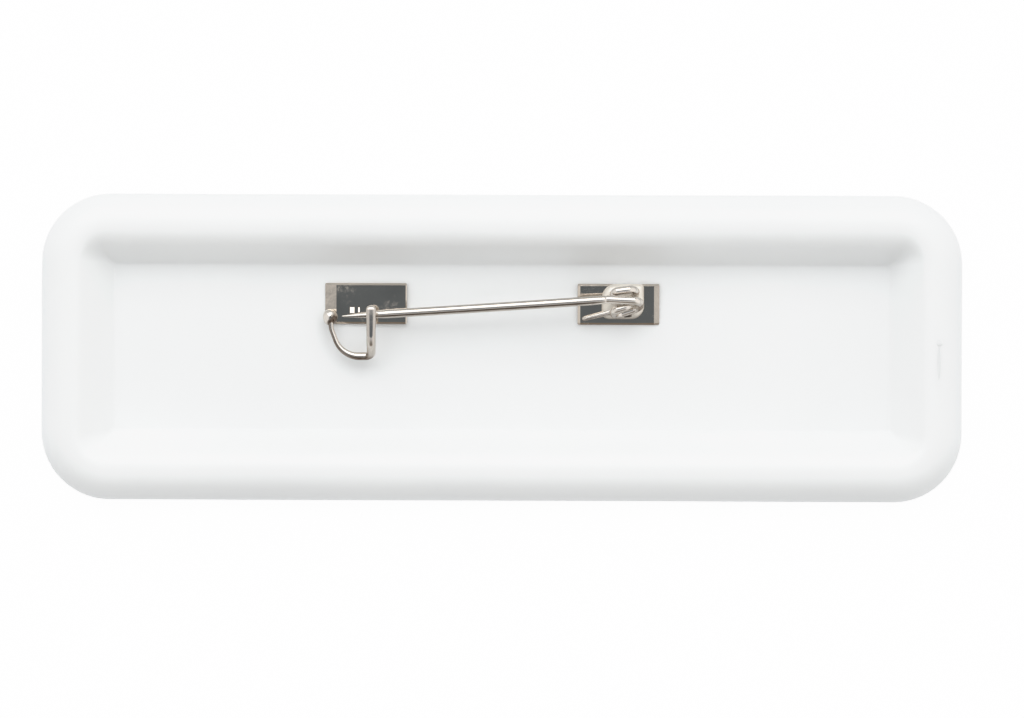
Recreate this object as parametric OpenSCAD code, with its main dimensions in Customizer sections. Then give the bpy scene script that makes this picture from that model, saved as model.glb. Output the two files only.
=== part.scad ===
// Pin-back badge: a long white plastic badge seen from behind, lying on its plain front.
// The back is a shallow tray with an arched rim. Two small metal plates are glued to the floor of the tray:
// the left one carries a bent wire catch, the right one a small wire coil that ends in a straight pin.
// X runs along the badge, Y across it and Z up, away from the front face, which lies at Z = 0.

/* [Badge] */
// Length of the badge
badge_length = 90; // [84:0.5:110]
// Width of the badge
badge_width = 30; // [29:0.5:40]
// Height from the front face to the top of the rim
badge_height = 6; // [5.9:0.1:7]
// Radius of the outline's four corners
corner_radius = 6.7; // [5:0.1:9]
// Rounding of the outer edge of the rim
rim_rounding = 3; // [2:0.1:3]
// Rounding of the edge of the front face
front_rounding = 0.8; // [0.3:0.1:1.5]

/* [Tray] */
// Length of the flat floor of the tray
floor_length = 76; // [70:0.5:76]
// Width of the flat floor of the tray
floor_width = 16.4; // [16:0.1:16.4]
// Thickness of the plastic under the floor
floor_thickness = 2; // [1.8:0.1:2.2]
// Lean of the two end walls, in degrees from upright
end_lean = 40; // [20:1:40]
// Rounding of the crest above the end walls
end_crest = 1.2; // [0.5:0.1:1.2]
// Lean of the two long walls, in degrees from upright
side_lean = 30; // [15:1:30]
// Rounding of the crest above the long walls
side_crest = 2.4; // [1:0.1:2.4]

/* [Metal plates] */
// Length of each plate
plate_length = 8; // [7.5:0.1:9]
// Width of each plate
plate_width = 4; // [3.8:0.1:4.5]
// Thickness of each plate
plate_thickness = 0.4; // [0.3:0.05:0.5]
// Place of the middle of the catch plate along the badge
catch_x = -13.3; // [-16:0.1:-12]
// Place of the middle of the hinge plate along the badge
hinge_x = 11.4; // [10:0.1:14]
// Place of both plates across the badge
plates_y = 4.3; // [3.8:0.1:4.4]
// Width of the sloping end strip of the catch plate
catch_strip = 1.1; // [0.5:0.1:1.5]
// Width of the sloping end strip of the hinge plate
hinge_strip = 0.5; // [0.3:0.1:1]

/* [Catch] */
// Diameter of the catch's wire
catch_wire = 0.8; // [0.75:0.05:0.9]
// Height of the catch's lower stretch above the plate, to the wire's middle
catch_low = 0.95; // [0.9:0.05:1]
// Height of the guard over the pin above the plate, to the wire's middle
catch_high = 2.98; // [2.95:0.01:3]
// Radius of the catch's wide bend
catch_sweep = 2.4; // [2:0.1:2.5]
// Reach of the catch past the middle of its plate, to the wire's middle
catch_reach = 5.15; // [5:0.05:5.3]

/* [Pin and coil] */
// Diameter of the pin's wire
pin_wire = 0.8; // [0.7:0.05:0.8]
// Height of the pin's root above the hinge plate, to the wire's middle
pin_height = 2.9; // [2.8:0.05:2.95]
// Length of the pin from its root to its point, along the badge
pin_run = 25.85; // [25:0.05:26]
// Length of the pin's tapered point
point_length = 4.3; // [3:0.1:4.3]
// Fall of the pin from its root to the catch, in degrees
pin_fall = 2.16; // [1.8:0.02:2.3]
// Slant of the pin across the badge, in degrees
pin_slant = 3.8; // [3.4:0.1:4.2]

/* [Hidden] */
$fn = 64;

plastic = [0.95, 0.95, 0.95];
nickel = [0.72, 0.70, 0.66];
white_nickel = [0.82, 0.80, 0.76];

// Play around each wire where it goes down through its plate, and how deep it reaches
root_play = 0.04;
root_depth = 1.2;
// Space between a wire and the plate that it lies on
lie_gap = 0.02;
// Play in the socket that the pin's ball end turns in
socket_play = 0.03;
// Height that cutters run past the faces they cut
past = 1;

floor_z = floor_thickness;
plate_z = floor_z + plate_thickness;

catch_r = catch_wire / 2;
pin_r = pin_wire / 2;
lie_z = pin_r + lie_gap;

// Middle of each plate on its upper face, from which its wire is measured
catch_at = [catch_x, plates_y, plate_z];
hinge_at = [hinge_x, plates_y, plate_z];

// Catch: each row is a corner of the wire's middle line and the radius of the bend there
root_x = -3.42;
root_y = -1.15;
guard_x = 0.56;
guard_end = -0.65;
tight_bend = 0.65;
side_bend = 2;
guard_bend = 1.2;
guard_slope = 55.4;
catch_path = [
    [[root_x, root_y, -root_depth], 0],
    [[root_x, root_y, catch_low], tight_bend],
    [[root_x, -2.7, catch_low], side_bend],
    [[-2.36, -catch_reach, catch_low], catch_sweep],
    [[guard_x, -catch_reach, catch_low], tight_bend],
    [[guard_x, -catch_reach + (catch_high - catch_low) / tan(guard_slope), catch_high], guard_bend],
    [[guard_x, guard_end, catch_high], 0]
];
// Radius of the drop of solder around the catch's root, and its middle's height above the plate
drop_r = 0.66;
drop_lift = 0.1;

// Pin: its root in the socket and its point
pin_root = [-1.1, 0.45, pin_height];
point_r = 0.08;
pin_point = pin_root - [pin_run, pin_run * tan(pin_slant), pin_run * tan(pin_fall)];

// Coil: the wire goes from the socket round three loose turns to a tail that ends in the plate's hole
coil_bend = 0.8;
inner_bend = 0.5;
tail_end = [-3.36, -1.5];
coil_path = [
    [pin_root, 0],
    [[2.02, 0.32, pin_height], 0.7],
    [[2.02, -0.35, lie_z], coil_bend],
    [[-0.50, -1.15, lie_z], coil_bend],
    [[-0.42, -0.62, 2.15], inner_bend],
    [[0.95, -0.20, 2.15], inner_bend],
    [[0.95, 0.35, 1.30], inner_bend],
    [[-0.55, 0.65, 1.30], inner_bend],
    [[-0.45, 1.22, 2.40], inner_bend],
    [[1.60, 1.50, 2.40], coil_bend],
    [[1.65, 0.95, lie_z], coil_bend],
    [[tail_end.x, tail_end.y, lie_z], tight_bend],
    [[tail_end.x, tail_end.y, -root_depth], 0]
];

// How far each straight piece of wire reaches into the bends beside it, and how much thicker the bends are
bend_seat = 0.05;
bend_swell = 0.01;

function unit(v) = v / norm(v);

// Placement that puts the Z axis along one direction and the X axis along another, square to it
function placed(at, x_axis, z_axis) =
    let (y_axis = cross(z_axis, x_axis))
    [for (i = [0:2]) [x_axis[i], y_axis[i], z_axis[i], at[i]], [0, 0, 0, 1]];

// Any direction that is square to the one given
function square_to(v) = unit(cross(v, abs(v.z) < 0.9 ? [0, 0, 1] : [1, 0, 0]));

// Angle by which a path turns at corner i, and the length that the bend takes from each leg there
function leg(path, i) = unit(path[i + 1][0] - path[i][0]);
function turn(path, i) = acos(leg(path, i - 1) * leg(path, i));
function bend_length(path, i) =
    i == 0 || i == len(path) - 1 ? 0 : path[i][1] * tan(turn(path, i) / 2);

// Where the straight piece after corner i starts and ends, a little way inside the bends beside it
function leg_start(path, i) =
    path[i][0] + leg(path, i) * (i == 0 ? 0 : bend_length(path, i) - bend_seat);
function leg_end(path, i) =
    path[i + 1][0] - leg(path, i) * (i == len(path) - 2 ? 0 : bend_length(path, i + 1) - bend_seat);

// A straight piece of round wire between two points
module straight(from, to, radius) {
    way = to - from;
    multmatrix(placed(from, square_to(unit(way)), unit(way)))
        cylinder(h = norm(way), r = radius);
}

// A straight piece of round wire whose far end is rounded, tapering to the end's own radius
module straight_to_end(from, to, radius, end_radius, taper) {
    way = to - from;
    multmatrix(placed(from, square_to(unit(way)), unit(way)))
        rotate_extrude()
            intersection() {
                union() {
                    polygon([
                        [0, 0],
                        [radius, 0],
                        [radius, norm(way) - taper],
                        [end_radius, norm(way)],
                        [0, norm(way)]
                    ]);
                    translate([0, norm(way)])
                        circle(end_radius);
                }
                square([radius, norm(way) + radius]);
            }
}

// The bend of a round wire at one corner of its path
module bend(path, i, radius) {
    before = leg(path, i - 1);
    after = leg(path, i);
    inward = unit(after - before * (before * after));
    start = path[i][0] - before * bend_length(path, i);
    centre = start + inward * path[i][1];
    multmatrix(placed(centre, -inward, cross(before, inward)))
        rotate_extrude(angle = turn(path, i))
            translate([path[i][1], 0])
                circle(radius + bend_swell);
}

// A round wire along a path, straight between its corners and bent at them
module wire(path, radius, round_end = false) {
    last = len(path) - 1;
    for (i = [0:last - 1])
        if (round_end && i == last - 1)
            straight_to_end(leg_start(path, i), path[last][0], radius, radius, 0);
        else
            straight(leg_start(path, i), leg_end(path, i), radius);
    for (i = [1:last - 1])
        bend(path, i, radius);
}

// Half of the badge's edge as seen in section: flat below, upright outside and rounded at both corners
module edge_section(width) {
    square([width - rim_rounding, badge_height]);
    translate([0, front_rounding])
        square([width, badge_height - rim_rounding - front_rounding]);
    square([width - front_rounding, badge_height - rim_rounding]);
    translate([width - rim_rounding, badge_height - rim_rounding])
        circle(rim_rounding);
    translate([width - front_rounding, front_rounding])
        circle(front_rounding);
}

// One straight side of the badge, from the middle block out to the edge, along X
module side_bar(length) {
    rotate([90, 0, 90])
        linear_extrude(length, center = true)
            edge_section(corner_radius);
}

// The badge before the tray is cut: a middle block, four straight sides and four round corners
module blank() {
    straight_x = badge_length - 2 * corner_radius;
    straight_y = badge_width - 2 * corner_radius;
    translate([-straight_x / 2, -straight_y / 2, 0])
        cube([straight_x, straight_y, badge_height]);
    for (side = [0, 1]) {
        rotate([0, 0, 180 * side])
            translate([0, straight_y / 2, 0])
                side_bar(straight_x);
        rotate([0, 0, 180 * side - 90])
            translate([0, straight_x / 2, 0])
                side_bar(straight_y);
        for (end = [0, 1])
            mirror([side, 0, 0])
                mirror([0, end, 0])
                    translate([straight_x / 2, straight_y / 2, 0])
                        rotate_extrude(angle = 90)
                            edge_section(corner_radius);
    }
}

// The tray in section: a flat floor, leaning walls, and crests that round over onto the rim
module tray_section(half_floor, lean, crest) {
    depth = badge_height - floor_z;
    wall_top = depth - crest * (1 - sin(lean));
    wall_run = wall_top * tan(lean);
    crest_x = half_floor + wall_run + crest * cos(lean);
    difference() {
        polygon([
            [-half_floor, floor_z],
            [half_floor, floor_z],
            [half_floor + wall_run, floor_z + wall_top],
            [crest_x, floor_z + wall_top],
            [crest_x, badge_height + past],
            [-crest_x, badge_height + past],
            [-crest_x, floor_z + wall_top],
            [-half_floor - wall_run, floor_z + wall_top]
        ]);
        for (side = [-1, 1])
            translate([side * crest_x, badge_height - crest])
                circle(crest);
    }
}

// The tray is where its long section and its cross section meet, so its corners are mitred
module tray() {
    intersection() {
        rotate([90, 0, 0])
            linear_extrude(2 * badge_width, center = true)
                tray_section(floor_length / 2, end_lean, end_crest);
        rotate([90, 0, 90])
            linear_extrude(2 * badge_length, center = true)
                tray_section(floor_width / 2, side_lean, side_crest);
    }
}

// Hole for the end of a wire that goes down through its plate
module root_hole(at, offset, radius) {
    translate([at.x + offset.x, at.y + offset.y, plate_z - root_depth - root_play])
        cylinder(h = root_depth + root_play + past, r = radius + root_play);
}

module badge_body() {
    color(plastic)
        difference() {
            blank();
            tray();
            root_hole(catch_at, [root_x, root_y], catch_r);
            root_hole(hinge_at, tail_end, pin_r);
        }
}

// A flat plate with a sloping strip at each end and a small bevel along each side
module plate(left_strip, right_strip) {
    half_length = plate_length / 2;
    half_width = plate_width / 2;
    end_height = 0.4 * plate_thickness;
    side_bevel = 0.18;
    side_height = 0.6 * plate_thickness;
    intersection() {
        rotate([90, 0, 0])
            linear_extrude(plate_width, center = true)
                polygon([
                    [-half_length, 0],
                    [half_length, 0],
                    [half_length, end_height],
                    [half_length - right_strip, plate_thickness],
                    [-half_length + left_strip, plate_thickness],
                    [-half_length, end_height]
                ]);
        rotate([90, 0, 90])
            linear_extrude(plate_length + past, center = true)
                polygon([
                    [-half_width, 0],
                    [half_width, 0],
                    [half_width, side_height],
                    [half_width - side_bevel, plate_thickness],
                    [-half_width + side_bevel, plate_thickness],
                    [-half_width, side_height]
                ]);
    }
}

module catch_plate() {
    color(nickel)
        difference() {
            translate([catch_x, plates_y, floor_z])
                plate(catch_strip, 0.1);
            root_hole(catch_at, [root_x, root_y], catch_r);
        }
}

// The catch with its rounded free end, and a drop of solder where it leaves the plate
module catch_hook() {
    color(white_nickel)
        translate(catch_at) {
            wire(catch_path, catch_r, round_end = true);
            translate([root_x, root_y, 0])
                solder_drop();
        }
}

module solder_drop() {
    rotate_extrude()
        intersection() {
            translate([0, drop_lift])
                circle(drop_r);
            translate([0, lie_gap])
                square([2 * drop_r, 2 * drop_r]);
        }
}

module hinge_plate() {
    color(nickel)
        difference() {
            translate([hinge_x, plates_y, floor_z])
                plate(0.25, hinge_strip);
            root_hole(hinge_at, tail_end, pin_r);
        }
}

// The coil, with a round socket in the end of its wire for the pin's ball end
module pin_spring() {
    color(white_nickel)
        translate(hinge_at)
            difference() {
                wire(coil_path, pin_r);
                translate(pin_root)
                    sphere(pin_r + socket_play);
            }
}

// The pin: a ball end, a long straight shank and a tapered point
module pin_arm() {
    middle = (pin_root + pin_point) / 2;
    color(white_nickel)
        translate(hinge_at) {
            straight_to_end(middle, pin_root, pin_r, pin_r, 0);
            straight_to_end(middle, pin_point, pin_r, point_r, point_length);
        }
}

badge_body();
catch_plate();
catch_hook();
hinge_plate();
pin_spring();
pin_arm();
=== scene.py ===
# %% [markdown]
# # A plastic badge with a wire pin, seen from behind
#
# The real thing is a long white badge, moulded in one shot, that lies on its plain front.
# Its back is a shallow tray with an arched rim. In the tray sit two small nickel-plated plates:
# the left one carries a bent wire catch, the right one a wire coil that ends in the pin.
#
# The frame holds the parts at their real size. This lesson makes what is seen on top of it:
# smoother and livelier versions of each part, their finishes, and a plain studio around them.
# Every piece is placed in metres in the frame's own axes, so nothing has to be fitted afterwards.

# %% Load the frame
import math

import bmesh
import bpy
from mathutils import Matrix, Vector, noise


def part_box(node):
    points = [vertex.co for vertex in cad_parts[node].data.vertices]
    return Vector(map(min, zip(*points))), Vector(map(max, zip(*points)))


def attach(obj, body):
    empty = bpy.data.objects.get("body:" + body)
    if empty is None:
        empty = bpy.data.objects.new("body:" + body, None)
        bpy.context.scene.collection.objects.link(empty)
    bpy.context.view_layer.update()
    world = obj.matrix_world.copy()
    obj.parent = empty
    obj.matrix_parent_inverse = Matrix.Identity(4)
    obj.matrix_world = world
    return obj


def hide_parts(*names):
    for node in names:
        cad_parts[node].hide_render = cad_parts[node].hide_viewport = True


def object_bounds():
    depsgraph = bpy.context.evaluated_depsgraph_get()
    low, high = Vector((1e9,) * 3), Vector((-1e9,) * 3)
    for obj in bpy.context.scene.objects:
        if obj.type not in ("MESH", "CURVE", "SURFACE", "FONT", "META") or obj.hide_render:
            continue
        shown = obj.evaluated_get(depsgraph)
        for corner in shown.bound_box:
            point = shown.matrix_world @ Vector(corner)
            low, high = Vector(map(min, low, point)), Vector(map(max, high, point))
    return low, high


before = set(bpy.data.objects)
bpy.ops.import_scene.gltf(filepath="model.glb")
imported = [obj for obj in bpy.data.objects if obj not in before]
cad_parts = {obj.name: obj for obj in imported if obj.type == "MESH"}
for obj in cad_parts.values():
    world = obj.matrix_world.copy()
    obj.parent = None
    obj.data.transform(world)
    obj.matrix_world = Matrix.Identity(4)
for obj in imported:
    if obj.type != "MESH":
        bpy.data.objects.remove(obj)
cad_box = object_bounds()
MM = 0.001
UP = Vector((0, 0, 1))
# Without a seed of its own, vector noise takes one from the clock, and no two runs are alike
noise.seed_set(5)
print("frame:", sorted(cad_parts), "size in mm:", [round(s / MM, 1) for s in cad_box[1] - cad_box[0]])

# %% [markdown]
# ## Where the camera stands
#
# The photo is taken from straight above, with a long lens: both end walls of the tray look alike.
# A camera 650 mm over the rim, with the field of view worked out from the width that the picture
# covers, gives the same flat view. The badge lies turned by a fifth of a degree in the picture,
# so the camera is rolled by that much.

# %% Camera
rim_z = cad_box[1].z
camera_height = 650 * MM
picture_width = 99.65 * MM
picture_centre = Vector((1.0 * MM, -1.08 * MM, 0))
picture_roll = math.radians(0.2)

camera_data = bpy.data.cameras.new("camera")
camera_data.sensor_width = 36
camera_data.lens = camera_data.sensor_width * camera_height / picture_width
camera_data.clip_start = 0.01
camera_data.clip_end = 10
camera = bpy.data.objects.new("camera", camera_data)
bpy.context.scene.collection.objects.link(camera)
camera.location = picture_centre + UP * (rim_z + camera_height)
camera.rotation_euler = (0, 0, picture_roll)
bpy.context.scene.camera = camera
print("camera lens in mm:", round(camera_data.lens, 1))

# %% [markdown]
# ## Helpers for materials
#
# The badge's materials are Principled BSDFs whose roughness and bump come from noise in Object
# coordinates. The pieces sit at the origin with their place in their mesh, so Object coordinates
# are metres in the badge's own frame, and a noise scale of 1000 means one feature per millimetre.


# %% Node helpers
def start_material(name):
    """A new material with its Principled BSDF and its coordinates ready to wire up."""
    material = bpy.data.materials.new(name)
    material.use_nodes = True
    tree = material.node_tree
    principled = next(n for n in tree.nodes if n.type == "BSDF_PRINCIPLED")
    place = tree.nodes.new("ShaderNodeTexCoord")
    return material, tree, principled, place.outputs["Object"]


def add_node(tree, kind, **settings):
    """A node of that kind. Settings that name an input set its value, and others set the node itself."""
    made = tree.nodes.new(kind)
    for name, value in settings.items():
        socket = made.inputs.get(name.replace("_", " "))
        if socket is not None:
            socket.default_value = value
        else:
            setattr(made, name, value)
    return made


def new_group(name, inputs, outputs):
    """A shader node group with named inputs and outputs, each given as (name, kind, value)."""
    group = bpy.data.node_groups.new(name, "ShaderNodeTree")
    for label, kind, value in inputs:
        socket = group.interface.new_socket(label, in_out="INPUT", socket_type=kind)
        if value is not None:
            socket.default_value = value
    for label, kind in outputs:
        group.interface.new_socket(label, in_out="OUTPUT", socket_type=kind)
    return group, group.nodes.new("NodeGroupInput"), group.nodes.new("NodeGroupOutput")


# %% [markdown]
# Three small moves come back in every finish and in the studio's light: a colour ramp fed by a
# mask, a number spread over another range, and a mix of two colours. A Mix node holds one set of
# sockets for each kind of data under the same names, so its sockets go by their number.

# %% Ramps, ranges and mixes
MIX_SHARE = 0
FIRST_NUMBER = 2
SECOND_NUMBER = 3
MIXED_NUMBER = 0
FIRST_COLOUR = 6
SECOND_COLOUR = 7
MIXED_COLOUR = 2


def ramp(tree, source, low, high, colours):
    """A colour ramp between two positions, fed by a mask."""
    made = tree.nodes.new("ShaderNodeValToRGB")
    made.color_ramp.elements[0].position = low
    made.color_ramp.elements[1].position = high
    made.color_ramp.elements[0].color = (*colours[0], 1)
    made.color_ramp.elements[1].color = (*colours[1], 1)
    tree.links.new(source, made.inputs["Fac"])
    return made.outputs["Color"]


def spread(tree, source, low=0.0, high=1.0, start=0.0, end=1.0, way="LINEAR"):
    """Turns a number that runs from start to end into one that runs from low to high."""
    made = add_node(tree, "ShaderNodeMapRange", From_Min=start, From_Max=end, To_Min=low, To_Max=high,
                    interpolation_type=way)
    tree.links.new(source, made.inputs["Value"])
    return made.outputs["Result"]


def mix_colours(tree, share, first, second):
    """Goes from the first colour to the second as share goes from 0 to 1. Each is a socket or a colour."""
    made = add_node(tree, "ShaderNodeMix", data_type="RGBA")
    tree.links.new(share, made.inputs[MIX_SHARE])
    for number, colour in ((FIRST_COLOUR, first), (SECOND_COLOUR, second)):
        if isinstance(colour, bpy.types.NodeSocket):
            tree.links.new(colour, made.inputs[number])
        else:
            made.inputs[number].default_value = (*colour, 1)
    return made.outputs[MIXED_COLOUR]


def multiply(tree, first, second):
    """The product of two sockets."""
    made = add_node(tree, "ShaderNodeMath", operation="MULTIPLY")
    tree.links.new(first, made.inputs[0])
    tree.links.new(second, made.inputs[1])
    return made.outputs["Value"]


# %% [markdown]
# ## A shared effect: grain
#
# Moulded plastic, rolled plate and drawn wire all have a fine unevenness, each at its own scale.
# One node group gives it: a coarse noise for slow unevenness, a fine one for grain, both turned
# into a tilted normal by a Bump node, and a mask that the materials use to vary their roughness.

# %% Grain group
FLOAT = "NodeSocketFloat"
VECTOR = "NodeSocketVector"
grain_group, grain_in, grain_out = new_group(
    "surface_grain",
    [("Vector", VECTOR, None), ("Coarse Scale", FLOAT, 80.0), ("Fine Scale", FLOAT, 2500.0),
     ("Coarse Depth", FLOAT, 0.02 * MM), ("Fine Depth", FLOAT, 0.002 * MM)],
    [("Normal", VECTOR), ("Mask", FLOAT)],
)
coarse = add_node(grain_group, "ShaderNodeTexNoise", Detail=3.0)
fine = add_node(grain_group, "ShaderNodeTexNoise", Detail=4.0)
coarse_bump = add_node(grain_group, "ShaderNodeBump", Strength=1.0)
fine_bump = add_node(grain_group, "ShaderNodeBump", Strength=1.0)
wire_up = grain_group.links.new
for noise_node, bump, size in ((coarse, coarse_bump, "Coarse"), (fine, fine_bump, "Fine")):
    wire_up(grain_in.outputs["Vector"], noise_node.inputs["Vector"])
    wire_up(grain_in.outputs[size + " Scale"], noise_node.inputs["Scale"])
    wire_up(grain_in.outputs[size + " Depth"], bump.inputs["Distance"])
    wire_up(noise_node.outputs["Fac"], bump.inputs["Height"])
wire_up(coarse_bump.outputs["Normal"], fine_bump.inputs["Normal"])
wire_up(fine_bump.outputs["Normal"], grain_out.inputs["Normal"])
wire_up(coarse.outputs["Fac"], grain_out.inputs["Mask"])
print("group:", grain_group.name)


def add_grain(tree, place, coarse_scale, fine_scale, coarse_depth, fine_depth):
    """The grain group placed in a material with its own values."""
    made = tree.nodes.new("ShaderNodeGroup")
    made.node_tree = grain_group
    made.inputs["Coarse Scale"].default_value = coarse_scale
    made.inputs["Fine Scale"].default_value = fine_scale
    made.inputs["Coarse Depth"].default_value = coarse_depth
    made.inputs["Fine Depth"].default_value = fine_depth
    tree.links.new(place, made.inputs["Vector"])
    return made


# %% [markdown]
# ## White moulded plastic
#
# The badge is white styrene with a satin skin. Light goes a little way into it, which softens
# every edge and shadow, so the material has a short subsurface radius. Its colour wanders by about
# one part in a hundred, and its sheen a little more, as it does where the melt cooled unevenly.

# %% White plastic
greyer_white = (0.846, 0.86, 0.862)
purer_white = (0.861, 0.875, 0.875)
white_plastic, tree, skin, place = start_material("white_plastic")
grain = add_grain(tree, place, coarse_scale=60.0, fine_scale=2600.0, coarse_depth=0.02 * MM,
                  fine_depth=0.0015 * MM)
tone = ramp(tree, grain.outputs["Mask"], 0.35, 0.65, [greyer_white, purer_white])
tree.links.new(tone, skin.inputs["Base Color"])
tree.links.new(spread(tree, grain.outputs["Mask"], 0.36, 0.48), skin.inputs["Roughness"])
tree.links.new(grain.outputs["Normal"], skin.inputs["Normal"])
skin.inputs["IOR"].default_value = 1.5
skin.inputs["Subsurface Weight"].default_value = 0.2
skin.inputs["Subsurface Radius"].default_value = (1.0, 1.0, 1.0)
skin.inputs["Subsurface Scale"].default_value = 0.8 * MM
print("material:", white_plastic.name)

# %% [markdown]
# ## Nickel plating
#
# Nickel is a warm grey metal that mirrors its surroundings. The plates are stamped from polished
# sheet, so they mirror sharply, with a few rubbed specks. Those come in patches, so two noises are
# multiplied: one for the specks and a slower one for where they lie. A single noise would sprinkle
# them evenly, which looks like dust and not like wear.


# %% Scuffs
def add_scuffs(tree, place, roughness, scuffed):
    """Raises a roughness to scuffed in small specks that come in patches."""
    specks = add_node(tree, "ShaderNodeTexNoise", Scale=2600.0, Detail=5.0, Roughness=0.6)
    patches = add_node(tree, "ShaderNodeTexNoise", Scale=420.0, Detail=1.0)
    for texture in (specks, patches):
        tree.links.new(place, texture.inputs["Vector"])
    both = multiply(tree, specks.outputs["Fac"], patches.outputs["Fac"])
    mixed = add_node(tree, "ShaderNodeMix", data_type="FLOAT")
    tree.links.new(spread(tree, both, start=0.30, end=0.44), mixed.inputs[MIX_SHARE])
    tree.links.new(roughness, mixed.inputs[FIRST_NUMBER])
    mixed.inputs[SECOND_NUMBER].default_value = scuffed
    return mixed.outputs[MIXED_NUMBER]


# %% [markdown]
# Parts of wires and solder that should mirror something dark are given painted shade instead: they
# carry an attribute on their vertices, set from each vertex's place and normal, and the material
# mixes a brown in by it. The grain's mask breaks the brown up, so that it has no clean edge.

# %% Nickel
# Brown of the painted shade and painted dark reflection on wires and solder
PAINTED_SHADE_BROWN = (0.15, 0.115, 0.09)


def make_nickel(name, colour, smooth, rough, grain_values, metallic=1.0, scuffed=None):
    """A nickel finish whose roughness runs from smooth to rough with the grain's mask."""
    nickel, tree, metal, place = start_material(name)
    grain = add_grain(tree, place, *grain_values)
    dull = [part * 0.9 for part in colour]
    clean = ramp(tree, grain.outputs["Mask"], 0.3, 0.7, [dull, colour])
    # Painted shade: a vertex attribute mixes the brown in where the metal should look dark
    shade_attribute = add_node(tree, "ShaderNodeAttribute", attribute_name="painted_shade")
    broken_shade = multiply(tree, shade_attribute.outputs["Fac"], spread(tree, grain.outputs["Mask"], 0.6, 1.2))
    tree.links.new(mix_colours(tree, broken_shade, clean, PAINTED_SHADE_BROWN), metal.inputs["Base Color"])
    roughness = spread(tree, grain.outputs["Mask"], smooth, rough)
    if scuffed is not None:
        roughness = add_scuffs(tree, place, roughness, scuffed)
    tree.links.new(roughness, metal.inputs["Roughness"])
    tree.links.new(grain.outputs["Normal"], metal.inputs["Normal"])
    metal.inputs["Metallic"].default_value = metallic
    print("material:", name)
    return nickel


# %% [markdown]
# Three finishes come from it. The wire is drawn through a die and plated afterwards, so it is
# brighter than the plates, a little rougher, and finely uneven. Solder is satin and less metallic.
# The grain values are its coarse and fine scale, then its coarse and fine depth.

# %% Three nickel finishes
plate_nickel = make_nickel(
    "plate_nickel", (0.64, 0.575, 0.50), smooth=0.04, rough=0.09,
    grain_values=(450.0, 5000.0, 0.02 * MM, 0.001 * MM), scuffed=0.24)
wire_nickel = make_nickel(
    "wire_nickel", (0.80, 0.75, 0.69), smooth=0.11, rough=0.17,
    grain_values=(900.0, 7000.0, 0.008 * MM, 0.001 * MM))
solder_nickel = make_nickel(
    "solder_nickel", (0.88, 0.83, 0.75), smooth=0.40, rough=0.50,
    grain_values=(1200.0, 6000.0, 0.04 * MM, 0.003 * MM), metallic=0.6)


# %% [markdown]
# ## Helpers for pieces
#
# A finished piece is smooth-shaded, with an edge kept sharp only where its faces meet at a steep
# angle. It rides on a body of the frame, and where it is the better version of one of the frame's
# own parts, it stands for that part.


# %% Piece helpers
def smooth_step(low, high, value):
    """0 below low, 1 above high, and a soft rise between them."""
    share = min(max((value - low) / (high - low), 0), 1)
    return share * share * (3 - 2 * share)


def finish_piece(bm, name, material, body, stands_for=None, sharp_angle=40, painted_shade=None):
    """Turns a bmesh into a shown object that rides on a body.

    Its last argument, if given, is a function that gives each vertex its share of painted shade, from its
    place and its normal.
    """
    bmesh.ops.recalc_face_normals(bm, faces=bm.faces)
    bm.normal_update()
    if painted_shade:
        # Each vertex keeps its share of painted shade
        layer = bm.verts.layers.float.new("painted_shade")
        for v in bm.verts:
            v[layer] = painted_shade(v.co, v.normal)
    mesh = bpy.data.meshes.new(name)
    bm.to_mesh(mesh)
    bm.free()
    mesh.materials.append(material)
    mesh.shade_smooth()
    mesh.set_sharp_from_angle(angle=math.radians(sharp_angle))
    piece = bpy.data.objects.new(name, mesh)
    bpy.context.scene.collection.objects.link(piece)
    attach(piece, body)
    if stands_for:
        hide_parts(stands_for)
    print("piece:", name, len(mesh.polygons), "faces")


# %% [markdown]
# Most pieces here grow ring by ring: a closed loop of edges is extruded, moved and resized, and
# the new loop is the start of the next step. Each new loop is listed in a fixed order, because a
# plain set of edges can come out in another order on each run, and so would the mesh's vertices.


# %% Ring helpers
def edges_of(verts):
    """The edges between some vertices, always in the same order."""
    chosen = set(verts)
    return list(dict.fromkeys(e for v in verts for e in v.link_edges if e.other_vert(v) in chosen))


def extrude_edges(bm, ring):
    """Extrudes a ring of edges in place and returns the new ring's vertices."""
    made = bmesh.ops.extrude_edge_only(bm, edges=ring)["geom"]
    return [g for g in made if isinstance(g, bmesh.types.BMVert)]


def extrude_ring(bm, ring, move, scale=1.0):
    """Extrudes a ring of edges by a vector and scales the new ring about its own middle."""
    verts = extrude_edges(bm, ring)
    bmesh.ops.translate(bm, verts=verts, vec=move)
    if scale != 1.0:
        middle = sum((v.co for v in verts), Vector()) / len(verts)
        bmesh.ops.scale(bm, verts=verts, vec=(scale, scale, scale), space=Matrix.Translation(-middle))
    return edges_of(verts)


# %% [markdown]
# ## The badge
#
# The badge is one moulding: a slab with round corners whose edge rolls over into an arched rim and
# down into the tray. It could be cut out of a box with booleans, but those leave slivers along a
# rim that is round everywhere. Instead it is lofted: a rounded rectangle, which is a plane with its
# corners bevelled, is extruded ring by ring from the front face up over the rim and down to the
# tray's floor. The two long walls lean less than the end walls, so each ring has its own inset
# along and across the badge.

# %% Badge sizes
half_length = (cad_box[1].x - cad_box[0].x) / 2
half_width = (cad_box[1].y - cad_box[0].y) / 2
outline_corner = 6.7 * MM
front_rounding = 0.8 * MM
rim_rounding = 3.0 * MM
floor_z = 2.0 * MM
floor_corner = 0.4 * MM
floor_fillet = 0.22 * MM
end_wall = {"half_floor": 38.0 * MM, "lean": math.radians(40), "crest": 1.2 * MM}
side_wall = {"half_floor": 8.2 * MM, "lean": math.radians(30), "crest": 2.4 * MM}
print("badge in mm:", round(2 * half_length / MM, 2), "x", round(2 * half_width / MM, 2))


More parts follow.
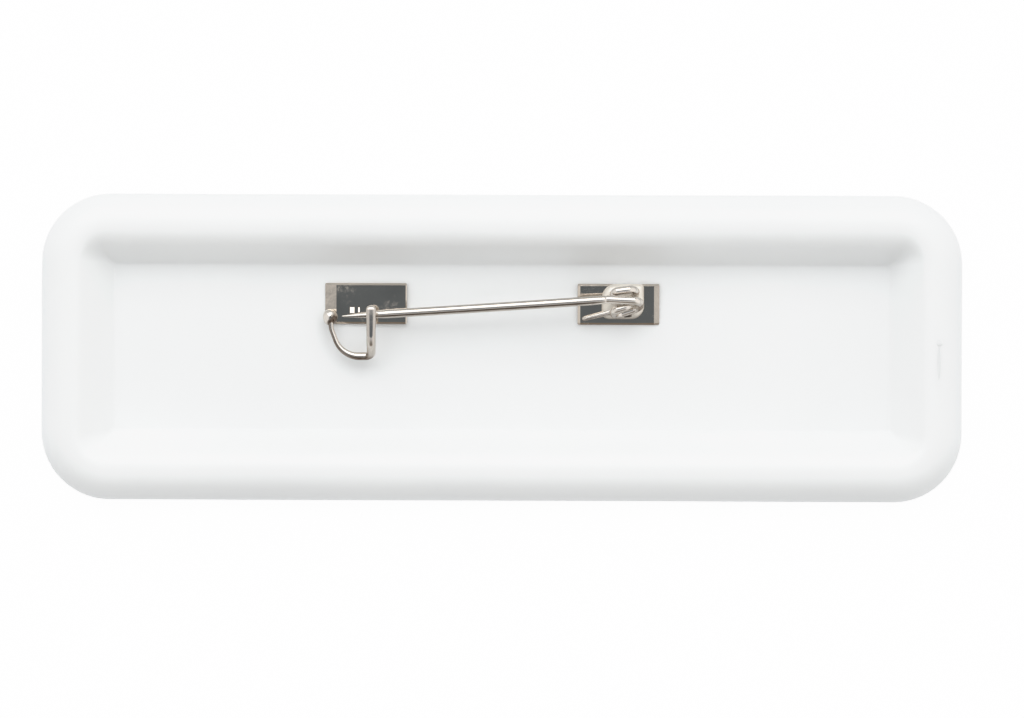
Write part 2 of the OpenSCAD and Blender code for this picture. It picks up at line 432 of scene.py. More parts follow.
# %% Shape of the tray's walls
def wall_reach(wall, z):
    """How far a wall stands from the badge's middle at a height: its leaning face, then its round crest."""
    crest_z = rim_z - wall["crest"]
    wall_top = crest_z + wall["crest"] * math.sin(wall["lean"])
    crest_middle = (wall["half_floor"] + (wall_top - floor_z) * math.tan(wall["lean"])
                    + wall["crest"] * math.cos(wall["lean"]))
    if z > wall_top:
        return crest_middle - math.sqrt(max(wall["crest"] ** 2 - (z - crest_z) ** 2, 0))
    return wall["half_floor"] + (z - floor_z) * math.tan(wall["lean"])


# %% [markdown]
# A ring is four numbers: its half length, its half width, the radius of its corners and its
# height. The rings lie close together wherever the skin turns, and far apart down the straight
# walls, so that the faces go where they are needed.

# %% Rings of the badge
FRONT_STEPS = 6
RIM_STEPS = 14
FILLET_STEPS = 4
# How far below the rim's top each ring on the crest and down the wall lies, in mm
WALL_DROPS = [0.002, 0.02, 0.06, 0.12, 0.2, 0.3, 0.42, 0.56, 0.72, 0.9, 1.1, 1.4, 1.8, 2.3, 2.8, 3.3, 3.65]
# The fillet at the foot of the wall is narrower than it is high
FILLET_NARROWING = 0.6


def badge_rings():
    """Yields half length, half width, corner radius and height of each ring, from the front to the floor."""
    for step in range(FRONT_STEPS + 1):
        a = math.radians(90 * step / FRONT_STEPS)
        inset = front_rounding * (1 - math.sin(a))
        yield (half_length - inset, half_width - inset, outline_corner - inset,
               front_rounding * (1 - math.cos(a)))
    for step in range(RIM_STEPS + 1):
        a = math.radians(90 * step / RIM_STEPS)
        inset = rim_rounding * (1 - math.cos(a))
        yield (half_length - inset, half_width - inset, outline_corner - inset,
               rim_z - rim_rounding * (1 - math.sin(a)))
    for drop in WALL_DROPS:
        z = rim_z - drop * MM
        reach_y = wall_reach(side_wall, z)
        corner = max(floor_corner, outline_corner - (half_width - reach_y))
        yield wall_reach(end_wall, z), reach_y, corner, z
    for step in range(FILLET_STEPS + 1):
        a = math.radians(90 * step / FILLET_STEPS)
        z = floor_z + floor_fillet * (1 - math.sin(a))
        inset = floor_fillet * FILLET_NARROWING * (1 - math.cos(a))
        yield wall_reach(end_wall, z) - inset, wall_reach(side_wall, z) - inset, floor_corner, z


# %% First ring, and the move from one ring to the next
CORNER_SEGMENTS = 14
SIDE_CUTS = 24
LONGEST_CORNER_EDGE = 5 * MM


def first_ring(bm, half_x, half_y, corner, z):
    """A rounded rectangle: a plane with its corners bevelled and its sides divided, kept as edges only."""
    plane = bmesh.ops.create_grid(bm, x_segments=1, y_segments=1, size=1.0)["verts"]
    bmesh.ops.scale(bm, verts=plane, vec=(half_x, half_y, 1))
    bmesh.ops.translate(bm, verts=plane, vec=(0, 0, z))
    bmesh.ops.bevel(bm, geom=plane, offset=corner, segments=CORNER_SEGMENTS, profile=0.5,
                    affect="VERTICES", material=-1)
    bmesh.ops.delete(bm, geom=bm.faces[:], context="FACES_ONLY")
    straight = [e for e in bm.edges if e.calc_length() > LONGEST_CORNER_EDGE]
    bmesh.ops.subdivide_edges(bm, edges=straight, cuts=SIDE_CUTS)
    return bm.edges[:]


def reshape(verts, before, after):
    """Moves a ring's vertices from one rounded rectangle onto another: sides stretch and corners scale."""
    corner_before = before[2]
    corner_after = after[2]
    for v in verts:
        for axis in (0, 1):
            core_before = before[axis] - corner_before
            core_after = after[axis] - corner_after
            past_core = max(abs(v.co[axis]) - core_before, 0)
            if past_core > 0:
                reach = core_after + past_core * corner_after / corner_before
            else:
                reach = abs(v.co[axis]) * core_after / core_before
            v.co[axis] = math.copysign(reach, v.co[axis])
        v.co.z = after[3]


# %% [markdown]
# The first ring is extruded again and again, and each new ring is moved onto its rounded rectangle.
# Both open ends are then closed and given a narrow flat border, so that the shading of the rounded
# edges doesn't run out over the flat faces. Last, the whole skin is drawn in by a few hundredths of
# a millimetre of slow noise, because no moulding is dead straight, and the left end is a hair
# narrower than the right, as in the photo.

# %% Badge
flat_border = 0.25 * MM
wave_length = 28 * MM
length_waver = 0.001
width_waver = 0.0025
left_narrowing = 0.0015

bm = bmesh.new()
rings = list(badge_rings())
ring = front_ring = first_ring(bm, *rings[0])
for before, after in zip(rings, rings[1:]):
    verts = extrude_edges(bm, ring)
    reshape(verts, before, after)
    ring = edges_of(verts)
for open_end in (front_ring, ring):
    cap = bmesh.ops.edgeloop_fill(bm, edges=open_end)["faces"]
    bmesh.ops.inset_region(bm, faces=cap, thickness=flat_border, depth=0, use_even_offset=True)
for v in bm.verts:
    slow = noise.noise_vector(v.co / wave_length)
    v.co.x *= 1 - length_waver * (1 + slow.x) / 2
    v.co.y *= 1 - width_waver * (1 + slow.y) / 2 - left_narrowing * (1 - v.co.x / half_length)
print("rings:", len(rings), "edges in each:", len(front_ring))
finish_piece(bm, "badge_shell", white_plastic, "badge", stands_for="badge_body",
             sharp_angle=60)

# %% [markdown]
# ## The gate mark
#
# Where the melt entered the mould, a small nub is left on the right end's rim, with a faint ridge
# that runs from it along the rim. Both are balls: the nub's is pressed nearly flat, and the
# ridge's is stretched. They sink into the rim so far that only their tops stand out, and they
# stay lower than the rim's highest line. A bump in the shell itself would need far more faces.

# %% Gate mark
gate_at = Vector((42.5 * MM, 0.6 * MM, rim_z - 0.07 * MM))
ridge_from_nub = Vector((0.02 * MM, -1.9 * MM, 0))
bm = bmesh.new()
nub = bmesh.ops.create_uvsphere(bm, u_segments=24, v_segments=12, radius=0.38 * MM)["verts"]
bmesh.ops.scale(bm, verts=nub, vec=(1.15, 0.85, 0.16))
ridge = bmesh.ops.create_uvsphere(bm, u_segments=16, v_segments=24, radius=0.1 * MM)["verts"]
bmesh.ops.scale(bm, verts=ridge, vec=(2.4, 18, 0.5))
bmesh.ops.translate(bm, verts=ridge, vec=ridge_from_nub)
bmesh.ops.translate(bm, verts=bm.verts, vec=gate_at)
finish_piece(bm, "gate_mark", white_plastic, "badge")


# %% [markdown]
# ## The two plates
#
# Each plate is stamped from thin polished sheet. Stamping rolls its edges down, and most of all a
# strip along one end, which slopes and catches the bright surroundings while the flat part mirrors
# the darkness overhead. A cube is scaled to the plate's box, cut where each slope starts, and its
# edges are lowered. Neither plate was glued down quite level, so each is turned by a few degrees
# about its middle.

# %% Plates
plate_corner = 0.12 * MM
rolled_width = 0.2 * MM
rolled_slope = 0.6


def make_plate(node, left, right, tilt_x, tilt_y, pressed=()):
    """A stamped plate in the box of a frame node. Each end is given as (strip width, drop of its edge)."""
    low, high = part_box(node)
    middle = (low + high) / 2
    size = high - low
    bm = bmesh.new()
    cube = bmesh.ops.create_cube(bm, size=1.0)["verts"]
    bmesh.ops.scale(bm, verts=cube, vec=size)
    bmesh.ops.translate(bm, verts=cube, vec=middle)
    upright = [e for e in bm.edges if abs(e.verts[0].co.z - e.verts[1].co.z) > size.z / 2]
    bmesh.ops.bevel(bm, geom=upright, offset=plate_corner, segments=3, profile=0.5, affect="EDGES",
                    material=-1)
    flat_left = low.x + left[0]
    flat_right = high.x - right[0]
    cuts = [(flat_left, "x"), (flat_right, "x"), (low.y + rolled_width, "y"), (high.y - rolled_width, "y")]
    for mark in pressed:
        cuts += [(mark[0], "x"), (mark[1], "x"), (mark[2], "y"), (mark[3], "y")]
    for place, axis in cuts:
        normal = Vector((1, 0, 0)) if axis == "x" else Vector((0, 1, 0))
        bmesh.ops.bisect_plane(bm, geom=bm.verts[:] + bm.edges[:] + bm.faces[:], dist=1e-8,
                               plane_co=normal * place, plane_no=normal)
    for v in bm.verts:
        if v.co.z > middle.z:
            left_drop = (flat_left - v.co.x) / left[0] * left[1]
            right_drop = (v.co.x - flat_right) / right[0] * right[1]
            side_drop = max(low.y + rolled_width - v.co.y, v.co.y - high.y + rolled_width, 0) * rolled_slope
            v.co.z -= max(left_drop, right_drop, 0) + side_drop
    press_marks(bm, pressed, high.z)
    turn = Matrix.Rotation(math.radians(tilt_x), 3, "X") @ Matrix.Rotation(math.radians(tilt_y), 3, "Y")
    bmesh.ops.rotate(bm, verts=bm.verts, cent=middle, matrix=turn)
    return bm


# %% [markdown]
# Two marks pressed into the left plate flash white in the photo: each is a small facet that tips
# towards the bright light at the back. The cuts above outline them, so here each one is inset,
# sunk and turned.

# %% Press marks
mark_border = 0.03 * MM
mark_depth = 0.02 * MM
same_height = 0.01 * MM
# Left, right, front and back edge of each mark, and its tip in degrees
catch_plate_marks = [
    (-14.88 * MM, -14.42 * MM, 3.35 * MM, 4.0 * MM, -17),
    (-14.08 * MM, -13.9 * MM, 3.42 * MM, 3.98 * MM, -17),
]


def press_marks(bm, pressed, top_z):
    """Sinks small facets into a plate's face, each tipped by its own angle towards the back of the photo."""
    for left, right, bottom, top, angle in pressed:
        facet = []
        for face in bm.faces:
            spot = face.calc_center_median()
            on_top = face.normal.z > 0.9 and abs(spot.z - top_z) < same_height
            if on_top and left < spot.x < right and bottom < spot.y < top:
                facet.append(face)
        bmesh.ops.inset_region(bm, faces=facet, thickness=mark_border, depth=-mark_depth)
        verts = list(dict.fromkeys(v for f in facet for v in f.verts))
        middle = sum((v.co for v in verts), Vector()) / len(verts)
        bmesh.ops.rotate(bm, verts=verts, cent=middle, matrix=Matrix.Rotation(math.radians(angle), 3, "X"))


# %% Both plates made
bm = make_plate("catch_plate", left=(1.1 * MM, 0.228 * MM), right=(0.12 * MM, 0.1 * MM),
                tilt_x=0.8, tilt_y=-1.2, pressed=catch_plate_marks)
finish_piece(bm, "catch_plate_dressed", plate_nickel, "badge", stands_for="catch_plate",
             sharp_angle=8)
bm = make_plate("hinge_plate", left=(0.26 * MM, 0.1 * MM), right=(0.52 * MM, 0.138 * MM),
                tilt_x=3.0, tilt_y=0.5)
finish_piece(bm, "hinge_plate_dressed", plate_nickel, "badge", stands_for="hinge_plate",
             sharp_angle=8)


# %% [markdown]
# ## Bending wire
#
# Catch, coil and pin are bent from wire by a machine that feeds it straight and turns it round a
# peg, over and over. The same two moves make the mesh: a ring of edges is extruded for each
# straight stretch and spun about the peg for each bend. A curve with a bevel would make a tube
# too, but its bends would not be true arcs.


# %% Wire helpers
def first_wire_ring(bm, place, way, radius, sides):
    """A circle of edges across a wire that starts at a place and runs along way."""
    verts = bmesh.ops.create_circle(bm, cap_ends=False, segments=sides, radius=radius)["verts"]
    bmesh.ops.rotate(bm, verts=verts, cent=(0, 0, 0), matrix=UP.rotation_difference(way).to_matrix())
    bmesh.ops.translate(bm, verts=verts, vec=place)
    return edges_of(verts)


def bend_wire(bm, corners, radius, sides=28, steps=12):
    """Feeds a ring along the corners, given as (point, bend radius), and spins it at each.

    Returns the ring at each end.
    """
    points = [point for point, _ in corners]
    way = (points[1] - points[0]).normalized()
    first = ring = first_wire_ring(bm, points[0], way, radius, sides)
    here = points[0]
    for (corner, peg), onward_point in zip(corners[1:], points[2:]):
        way = (corner - here).normalized()
        onward = (onward_point - corner).normalized()
        angle = way.angle(onward)
        stop = corner - way * peg * math.tan(angle / 2)
        inward = (onward - way * way.dot(onward)).normalized()
        ring = extrude_ring(bm, ring, stop - here)
        spun = bmesh.ops.spin(bm, geom=ring, cent=stop + inward * peg, axis=way.cross(inward),
                              angle=angle, steps=steps)["geom_last"]
        ring = [g for g in spun if isinstance(g, bmesh.types.BMEdge)]
        here = corner + onward * peg * math.tan(angle / 2)
    return first, extrude_ring(bm, ring, points[-1] - here)


def round_end(bm, ring, way, radius, ball, steps=7):
    """Closes a ring with part of a ball, bulging along way."""
    start = math.acos(min(radius / ball, 1))
    almost_closed = math.radians(86)
    angles = [start + (almost_closed - start) * (step + 1) / steps for step in range(steps)]
    before = start
    for angle in angles:
        move = way * ball * (math.sin(angle) - math.sin(before))
        ring = extrude_ring(bm, ring, move, math.cos(angle) / math.cos(before))
        before = angle
    bmesh.ops.edgeloop_fill(bm, edges=ring)


def reshape_wire(bm, change):
    """Makes a wire thicker or thinner from place to place: each vertex moves along its normal."""
    bm.normal_update()
    moves = [(v, v.normal * change(v.co)) for v in bm.verts]
    for v, move in moves:
        v.co += move


def measured_from(origin, rows):
    """Corners in metres from rows of (x, y, z, bend radius) in millimetres, measured from a point."""
    return [(origin + Vector((x, y, z)) * MM, peg * MM) for x, y, z, peg in rows]


# %% [markdown]
# ## The catch
#
# One end of the catch comes up through its plate. The wire turns flat at once, sweeps round in
# front of the plate, and rises in a steep guard whose free end reaches back over the pin. It is
# thin at its root, and its free end is pressed flat. So the wire is bent first, then thinned and
# thickened along its normals, and then pressed.

# %% Catch
plate_top = floor_z + 0.4 * MM
catch_at = Vector((-13.3 * MM, 4.3 * MM, plate_top))
catch_radius = 0.4 * MM
root_x = -3.42
guard_x = 0.56
guard_foot_y = -3.75
guard_foot_z = 2.94
# x, y, z and bend radius of each corner in mm, measured from the plate's top
catch_rows = [
    (root_x, -1.15, -1.2, 0),
    (root_x, -1.15, 0.95, 0.65),
    (root_x, -2.4, 0.95, 2),
    (-2.36, -5.15, 0.95, 2.4),
    (guard_x, -5.15, 0.95, 0.65),
    (guard_x, guard_foot_y, guard_foot_z, 1.2),
    (guard_x, -0.65, 3.1, 0),
]


# %% Thickness of the catch
root_thinning = 0.18
thin_length = 2.8
guard_thickening = 0.05
low_wire_top = 1.0


def catch_change(place):
    """The catch is drawn thin at its root and is thickest in its guard."""
    along = min(max((place.x - catch_at.x) / MM - root_x, 0) / thin_length, 1)
    height = min(max((place.z - catch_at.z) / MM - low_wire_top, 0), 1) * (along > 0.9)
    return (-root_thinning * (1 - along) + guard_thickening * height) * MM


def press_flat(bm, axis_x, axis_z, radius):
    """Presses the catch's free end: it gets wider, and its upper and lower sides get flat."""
    free_end_reach = 3.1
    free_end_rise = 0.16 * MM
    widening = 0.12
    flattening = 0.72
    for v in bm.verts:
        from_plate_y = (v.co.y - catch_at.y) / MM
        pressed = smooth_step(-3.1, -2.0, from_plate_y) * ((v.co.z - catch_at.z) / MM > 2.0)
        axis_here = axis_z + free_end_rise * (from_plate_y - guard_foot_y) / free_end_reach
        side = (v.co.x - axis_x) / radius
        rise = (v.co.z - axis_here) / radius
        flat_rise = rise * flattening * ((1 + side ** 2) / max(1 - side ** 2, 0.001)) ** 0.25
        v.co.x += pressed * widening * side * radius
        v.co.z += pressed * (flat_rise - rise) * radius


def catch_painted_shade(place, normal):
    """Painted shade: the catch is darker on the outer side of its sweep and over its raised guard, except
    where the guard faces the back.
    """
    low = 1 - smooth_step(1.3, 1.9, (place.z - catch_at.z) / MM)
    outer = smooth_step(0.0, 0.3, normal.dot(Vector((-0.7, -0.7, 0))))
    free_end = smooth_step(0.4, 0.8, normal.y)
    return low * outer + 0.38 * (1 - low) * (1 - free_end)


# %% Catch made
guard_radius = catch_radius + guard_thickening * MM
bm = bmesh.new()
root_ring, free_ring = bend_wire(bm, measured_from(catch_at, catch_rows), catch_radius, sides=32)
round_end(bm, free_ring, Vector((0, 1, 0)), catch_radius, catch_radius)
reshape_wire(bm, catch_change)
press_flat(bm, catch_at.x + guard_x * MM, catch_at.z + guard_foot_z * MM, guard_radius)
bmesh.ops.edgeloop_fill(bm, edges=root_ring)
finish_piece(bm, "catch_wire", wire_nickel, "badge", stands_for="catch_hook",
             painted_shade=catch_painted_shade)


# %% [markdown]
# A bead of solder sits on the root. Molten metal draws itself into a ball, so it starts as a
# sphere, which two noises make uneven and which is a little longer across the plate.

# %% Solder at the catch
bead_at = catch_at + Vector((-3.52, -1.36, 0.7)) * MM
bead_radius = 0.7 * MM
bead_stretch = (1, 1.14, 1)
# The way the bead's painted shade faces: to the right, the front and up
shaded_way = Vector((0.62, -0.65, 0.45))


def bead_painted_shade(place, normal):
    """Painted shade: the bead is darker where it faces the front and the right."""
    return 1.1 * smooth_step(0.3, 0.75, normal.dot(shaded_way))


bm = bmesh.new()
bead = bmesh.ops.create_uvsphere(bm, u_segments=48, v_segments=32, radius=bead_radius)["verts"]
for v in bead:
    lumps = noise.noise(v.co / (0.5 * MM) + Vector((3, 0, 0)))
    ripples = noise.noise(v.co / (0.17 * MM))
    v.co *= 1 + 0.07 * lumps + 0.03 * ripples
bmesh.ops.scale(bm, verts=bead, vec=bead_stretch)
bmesh.ops.translate(bm, verts=bead, vec=bead_at)
finish_piece(bm, "catch_solder", wire_nickel, "badge", painted_shade=bead_painted_shade)

# %% [markdown]
# ## The coil
#
# The pin's wire bends down at the hinge, runs back along the plate, and winds up and over twice
# more before its tail goes down through a hole at the plate's corner. On the real thing pin and
# coil are one wire that flexes. Here the pin has to swing, so the coil's end is hollowed to a cup,
# in which the pin's ball end turns with a hundredth of a millimetre to spare.

# %% Coil
hinge_at = Vector((11.4 * MM, 4.3 * MM, plate_top))
wire_radius = 0.4 * MM
pin_root = Vector((-1.1, 0.45, 2.9))
cup_radius = 0.412 * MM
cup_rim = math.sqrt(cup_radius ** 2 - wire_radius ** 2) / MM
# x, y, z and bend radius of each corner in mm, measured from the plate's top
coil_rows = [
    (pin_root.x + cup_rim, pin_root.y, pin_root.z, 0),
    (2.02, 0.32, 2.90, 0.7),
    (2.02, -0.35, 0.42, 0.8),
    (-0.50, -1.15, 0.42, 0.8),
    (-0.42, -0.62, 2.15, 0.5),
    (0.95, -0.20, 2.15, 0.5),
    (0.95, 0.35, 1.30, 0.5),
    (-0.55, 0.65, 1.30, 0.5),
    (-0.45, 1.22, 2.40, 0.5),
    (1.60, 1.50, 2.40, 0.8),
    (1.65, 0.85, 0.38, 0.8),
    (-0.90, -0.80, 0.34, 1.5),
    (-3.36, -1.42, 0.30, 0.4),
    (-3.36, -1.42, -1.20, 0),
]


# %% Thickness and painted shade of the coil
tail_thinning = 0.17
tail_start = -0.5
thinning_length = 0.9


def coil_change(place):
    """The coil's tail is drawn thin."""
    left = min(max(tail_start - (place.x - hinge_at.x) / MM, 0) / thinning_length, 1)
    low = (place.z - hinge_at.z) / MM < low_wire_top
    return -tail_thinning * left * low * MM


def coil_painted_shade(place, normal):
    """Painted shade: the coil is a little darker on its front side, and its tail more so."""
    tail = 1 - smooth_step(-1.6, -1.2, (place.x - hinge_at.x) / MM)
    return (0.5 + 0.4 * tail) * smooth_step(0.35 - 0.25 * tail, 0.7 - 0.2 * tail, -normal.y)


# %% Coil made
bm = bmesh.new()
cup_ring, tail_ring = bend_wire(bm, measured_from(hinge_at, coil_rows), wire_radius)
cup_way = (Vector(coil_rows[1][:3]) - Vector(coil_rows[0][:3])).normalized()
round_end(bm, cup_ring, cup_way, wire_radius, cup_radius)
reshape_wire(bm, coil_change)
bmesh.ops.edgeloop_fill(bm, edges=tail_ring)
finish_piece(bm, "coil_wire", wire_nickel, "badge", stands_for="pin_spring",
             painted_shade=coil_painted_shade)

# %% [markdown]
# The coil sits in a wide pad of solder that fills most of the plate's width and runs up between
# the turns. It is satin, so it looks pale beside the polished plate. Its outline is a plane with
# bevelled corners, each with its own rounding. That outline is extruded again and again, every
# ring smaller and higher than the last, so that the rings climb a dome with steep sides.

# %% Outline of the solder pad
pad_low = Vector((9.75 * MM, 2.86 * MM))
pad_high = Vector((13.9 * MM, 6.3 * MM))
pad_middle = (pad_low + pad_high) / 2
pad_sink = 0.05 * MM
# How round each corner is in mm, by whether it lies right and whether it lies at the back
pad_corners = {(0, 0): 0.7, (1, 0): 1.3, (1, 1): 0.35, (0, 1): 1.35}

bm = bmesh.new()
pad = bmesh.ops.create_grid(bm, x_segments=1, y_segments=1, size=0.5)["verts"]
bmesh.ops.scale(bm, verts=pad, vec=(pad_high.x - pad_low.x, pad_high.y - pad_low.y, 1))
bmesh.ops.translate(bm, verts=pad, vec=(pad_middle.x, pad_middle.y, plate_top - pad_sink))
for (right, back), rounding in pad_corners.items():
    wanted = Vector((pad_high.x if right else pad_low.x, pad_high.y if back else pad_low.y))
    corner = min(bm.verts, key=lambda v: (v.co.xy - wanted).length)
    bmesh.ops.bevel(bm, geom=[corner], offset=rounding * MM, segments=12, profile=0.5, affect="VERTICES",
                    material=-1)
bmesh.ops.delete(bm, geom=bm.faces[:], context="FACES_ONLY")
bmesh.ops.subdivide_edges(bm, edges=[e for e in bm.edges if e.calc_length() > 0.5 * MM], cuts=14)
ring = bm.edges[:]
print("edges in the pad's outline:", len(ring))

# %% Dome of the solder pad
pad_height = 0.78 * MM
pad_rings = 36
last_share = 0.04
shares = [1 - (1 - last_share) * step / pad_rings for step in range(pad_rings + 1)]
for before, after in zip(shares, shares[1:]):
    rise = pad_height * (math.sqrt(1 - after ** 4) - math.sqrt(1 - before ** 4))
    ring = extrude_ring(bm, ring, UP * rise, after / before)
bmesh.ops.edgeloop_fill(bm, edges=ring)
print("rings in the pad:", len(shares))

# %% [markdown]
# Solder freezes lumpy, and it climbs higher behind the coil than in front of it. In front it
# leaves a dark slot open. Noise lifts and lowers the dome, and a smooth dip makes the slot.

# %% Lumps and slot of the solder pad
slot_at = Vector((12.15 * MM, 3.2 * MM))
slot_half_length = 0.62 * MM
slot_half_width = 0.17 * MM
slot_depth = 0.3 * MM
lump_size = 0.9 * MM
lump_height = 0.14
back_rise = 0.25


def slot_share(place):
    """How deep a spot lies in the slot in front of the coil: 0 outside, 1 inside."""
    along = (place.x - slot_at.x) / slot_half_length
    across = (place.y - slot_at.y) / slot_half_width
    return 1 - smooth_step(0.3, 1.2, along ** 2 + across ** 2)


def pad_painted_shade(place, normal):
    """Painted shade: the solder is darker in its slot and along its front edge."""
    return min(slot_share(place) + 0.6 * smooth_step(0.3, 0.9, -normal.y), 1)


for v in bm.verts:
    height = (v.co.z - plate_top) / MM
    if height > 0.1:
        lump = noise.noise(v.co / lump_size + Vector((0, 7, 0)))
        v.co.z += (lump_height * lump + back_rise * (v.co.y - hinge_at.y) / (2 * MM)) * height * MM
        v.co.z -= slot_depth * slot_share(v.co)
finish_piece(bm, "hinge_solder", solder_nickel, "badge", painted_shade=pad_painted_shade)

# %% [markdown]
# ## The pin
#
# The pin is one wire with a ball at its root and a long tapered point, and it bows by a few
# hundredths of a millimetre. Its shank looks a little thicker than the coil's wire. Right behind
# the ball it has a neck, so that it stays clear of the cup's rim when it swings. It is the one
# piece that moves: it rides on its own body. It is extruded from station to station, and each
# station has its own width and its own share of the bow.

# %% Pin sizes
pin_at = hinge_at + pin_root * MM
pin_reach = 25.85
pin_slant = math.radians(3.8)
pin_fall = math.radians(2.16)
pin_way = Vector((-1, -math.tan(pin_slant), -math.tan(pin_fall))) * pin_reach * MM
taper_share = 4.3 * MM / pin_way.length
point_radius = 0.06 * MM
bow = Vector((0, -0.05 * MM, 0))
neck_at = 0.18
neck_length = 0.07
neck_depth = 0.14
shank_thickening = 0.11
thinning_to_point = 0.05
# The shares of the pin's length at which its rings lie: at the neck, along the shank and down the point
stations = [0, 0.1 / pin_reach, neck_at / pin_reach, 0.3 / pin_reach]
stations += [s / 16 * (1 - taper_share) for s in range(1, 17)]
stations += [1 - taper_share * (1 - s / 10) for s in range(1, 11)]
print("pin length in mm:", round(pin_way.length / MM, 2), "stations:", len(stations))


# %% Shape of the pin
def pin_width(share):
    """The pin's width against its wire's, by the share of its length."""
    taper = max((share - 1 + taper_share) / taper_share, 0)
    neck = neck_depth * math.exp(-((share * pin_reach - neck_at) / neck_length) ** 2)
    thickness = 1 + shank_thickening * smooth_step(0, 0.06, share) - thinning_to_point * share - neck
    return thickness * (1 - (1 - point_radius / wire_radius) * taper ** 1.15)


def pin_bow(share):
    """How much of the bow the pin has, by the share of its length."""
    return math.sqrt(abs(math.sin(math.pi * share)))


def pin_painted_shade(place, normal):
    """Painted shade: the pin is darker along its front side, less so near the coil, and a little along its
    back.
    """
    far = 1 - 0.7 * smooth_step(8.4, 10.2, place.x / MM)
    front = smooth_step(0.12, 0.4, -normal.y) * (1 - 0.5 * smooth_step(0.6, 0.85, -normal.y))
    return 0.95 * far * front + 0.3 * smooth_step(0.6, 0.9, normal.y)


# %% Pin made
bm = bmesh.new()
ring = ball_ring = first_wire_ring(bm, pin_at, pin_way, wire_radius, sides=40)
width_before = 1.0
for before, after in zip(stations, stations[1:]):
    width = pin_width(after)
    sway = bow * (pin_bow(after) - pin_bow(before))
    ring = extrude_ring(bm, ring, pin_way * (after - before) + sway, width / width_before)
    width_before = width
round_end(bm, ring, pin_way.normalized(), point_radius, point_radius, steps=3)
round_end(bm, ball_ring, -pin_way.normalized(), wire_radius, wire_radius)
finish_piece(bm, "pin_wire", wire_nickel, "pin", stands_for="pin_arm", painted_shade=pin_painted_shade)

# %% [markdown]
# ## The studio
#
# The badge lies on white paper that is brighter than its plastic. Paper lit that strongly would
# light the badge's sides too, so it glows for the camera and for mirrors, and is left out of soft
# light. What it would throw back comes from the lower half of the surroundings instead.

# %% Floor
paper, tree, sheet, place = start_material("studio_paper")
grain = add_grain(tree, place, coarse_scale=5.0, fine_scale=900.0, coarse_depth=0.01 * MM,
                  fine_depth=0.01 * MM)
tree.links.new(grain.outputs["Normal"], sheet.inputs["Normal"])
sheet.inputs["Base Color"].default_value = (0.15, 0.15, 0.15, 1)
sheet.inputs["Roughness"].default_value = 0.9
sheet.inputs["Emission Color"].default_value = (1, 1, 1, 1)
sheet.inputs["Emission Strength"].default_value = 1.17
paper_gap = 0.02 * MM
bm = bmesh.new()
bmesh.ops.create_grid(bm, x_segments=1, y_segments=1, size=1.6)
bmesh.ops.translate(bm, verts=bm.verts, vec=(0, 0, -paper_gap))
floor_mesh = bpy.data.meshes.new("floor")
bm.to_mesh(floor_mesh)
bm.free()
floor_mesh.materials.append(paper)
floor = bpy.data.objects.new("floor", floor_mesh)
bpy.context.scene.collection.objects.link(floor)
floor.visible_diffuse = False

# %% [markdown]
# One large softbox stands at the back of the photo and a little to the left. It lights the front
# wall of the tray and leaves the back wall and the pin's shadow soft and grey. A small lamp would
# draw hard shadows.

# %% Softbox
softbox_azimuth = math.radians(-8)
softbox_off_zenith = math.radians(44)
softbox_distance = 1.3
softbox_power = 8.7
softbox_data = bpy.data.lights.new("back_softbox", "AREA")
softbox_data.shape = "RECTANGLE"
softbox_data.size = 1.5
softbox_data.size_y = 0.95
softbox_data.energy = softbox_power
away = Vector((math.sin(softbox_azimuth) * math.sin(softbox_off_zenith),
               math.cos(softbox_azimuth) * math.sin(softbox_off_zenith),
               math.cos(softbox_off_zenith)))
softbox = bpy.data.objects.new("back_softbox", softbox_data)
bpy.context.scene.collection.objects.link(softbox)
softbox.location = away * softbox_distance
softbox.rotation_euler = away.to_track_quat("Z", "Y").to_euler()
print("light:", softbox.name, softbox_power, "W")

# %% [markdown]
# ## What the metal mirrors
#
# Polished metal shows the room more than itself, so the room is painted by direction, in layers,
# each mixed over the one before. The first is a ramp from the wall in front of the badge, over the
# ceiling, to the wall behind it: dim at both ends and brightest a little behind the zenith. Real
# walls modelled around the badge would do the same, but each change would mean moving them.

# %% Walls in front and behind
world = bpy.data.worlds.new("studio")
bpy.context.scene.world = world
world.use_nodes = True
tree = world.node_tree
backdrop = next(n for n in tree.nodes if n.type == "BACKGROUND")
direction = add_node(tree, "ShaderNodeTexCoord").outputs["Generated"]
parts = add_node(tree, "ShaderNodeSeparateXYZ")
tree.links.new(direction, parts.inputs["Vector"])
to_right = parts.outputs["X"]
to_back = parts.outputs["Y"]
upwards = parts.outputs["Z"]

wall_colours = [
    (0.0, (0.25, 0.21, 0.17)),
    (0.07, (0.29, 0.26, 0.23)),
    (0.15, (0.43, 0.42, 0.41)),
    (0.25, (0.68, 0.68, 0.69)),
    (0.38, (0.85, 0.85, 0.86)),
    (0.5, (1.12, 1.12, 1.12)),
    (0.62, (1.35, 1.35, 1.35)),
    (0.75, (0.9, 0.9, 0.9)),
    (0.9, (0.32, 0.32, 0.31)),
    (1.0, (0.2, 0.19, 0.18)),
]
walls = add_node(tree, "ShaderNodeValToRGB")
tree.links.new(spread(tree, to_back, start=-1.0, end=1.0), walls.inputs["Fac"])
for position, _ in wall_colours[1:-1]:
    walls.color_ramp.elements.new(position)
for element, (_, colour) in zip(walls.color_ramp.elements, wall_colours):
    element.color = (*colour, 1)
room = walls.outputs["Color"]
print("colours from front to back:", len(wall_colours))

# %% [markdown]
# The walls at both ends of the badge are pale all over, the left one a little less, which is why
# the tray's right wall is the greyer one. In front, the table's own white shows as a low band
# under the dim wall.

# %% End walls and the low band in front
left_end_colour = (0.87, 0.865, 0.86)
right_end_colour = (1.02, 1.01, 1.0)
band_colour = (1.0, 0.99, 0.97)

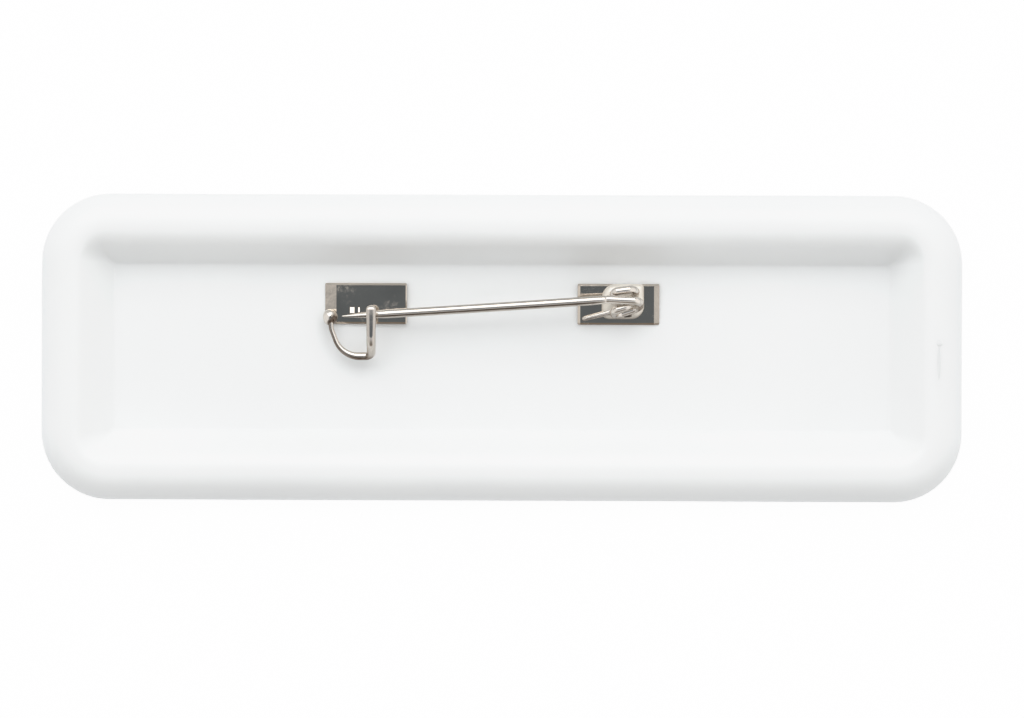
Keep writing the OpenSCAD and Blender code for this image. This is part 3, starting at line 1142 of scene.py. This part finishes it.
to_one_end = add_node(tree, "ShaderNodeMath", operation="ABSOLUTE")
tree.links.new(to_right, to_one_end.inputs[0])
end_share = spread(tree, to_one_end.outputs["Value"], start=0.25, end=0.7, way="SMOOTHSTEP")
left_to_right = spread(tree, to_right, start=-0.5, end=0.5)
end_colours = mix_colours(tree, left_to_right, left_end_colour, right_end_colour)
room = mix_colours(tree, end_share, room, end_colours)

low_band = spread(tree, upwards, start=0.24, end=0.1, way="SMOOTHSTEP")
in_front = spread(tree, to_back, start=0.0, end=-0.4)
room = mix_colours(tree, multiply(tree, low_band, in_front), room, band_colour)

# %% [markdown]
# Overhead is a dark opening, where the camera stands. It turns the polished plates dark grey while
# the plastic round them stays white. It is longer along the badge than across it, and a little
# nearer to the front. Below the horizon stands the light that the paper throws back.

# %% Dark opening and the light from below
opening_colour = (0.155, 0.18, 0.205)
opening_squeeze = (0.4, 1.0, 0.0)
opening_shift = (0.0, 0.11, 0.0)
below_colour = (0.55, 0.57, 0.6)

squeezed = add_node(tree, "ShaderNodeVectorMath", operation="MULTIPLY_ADD")
squeezed.inputs[1].default_value = opening_squeeze
squeezed.inputs[2].default_value = opening_shift
tree.links.new(direction, squeezed.inputs[0])
off_middle = add_node(tree, "ShaderNodeVectorMath", operation="LENGTH")
tree.links.new(squeezed.outputs["Vector"], off_middle.inputs[0])
outside = spread(tree, off_middle.outputs["Value"], start=0.15, end=0.25, way="SMOOTHSTEP")
room = mix_colours(tree, outside, opening_colour, room)
below = spread(tree, upwards, start=0.0, end=-0.04)
room = mix_colours(tree, below, room, below_colour)
tree.links.new(room, backdrop.inputs["Color"])
backdrop.inputs["Strength"].default_value = 1.045
print("nodes in the room:", len(tree.nodes))

# %% [markdown]
# ## Exposure
#
# Film rolls off near white instead of clipping. A curve does the same here: up to the brightness of
# the tray's floor nothing changes, and above it the highlights are pressed together.

# %% Exposure
look = bpy.context.scene.view_settings
look.view_transform = "Standard"
look.use_curve_mapping = True
brightest = 1.4
look.curve_mapping.white_level = (brightest, brightest, brightest)
shoulder = look.curve_mapping.curves[3]
for brightness, shown in [(0.86, 0.86), (1.0, 0.928), (1.14, 0.953), (1.23, 0.965), (1.29, 0.992)]:
    shoulder.points.new(brightness / brightest, shown)
for point in shoulder.points:
    point.handle_type = "VECTOR"
look.curve_mapping.update()
print("exposure:", look.view_transform)
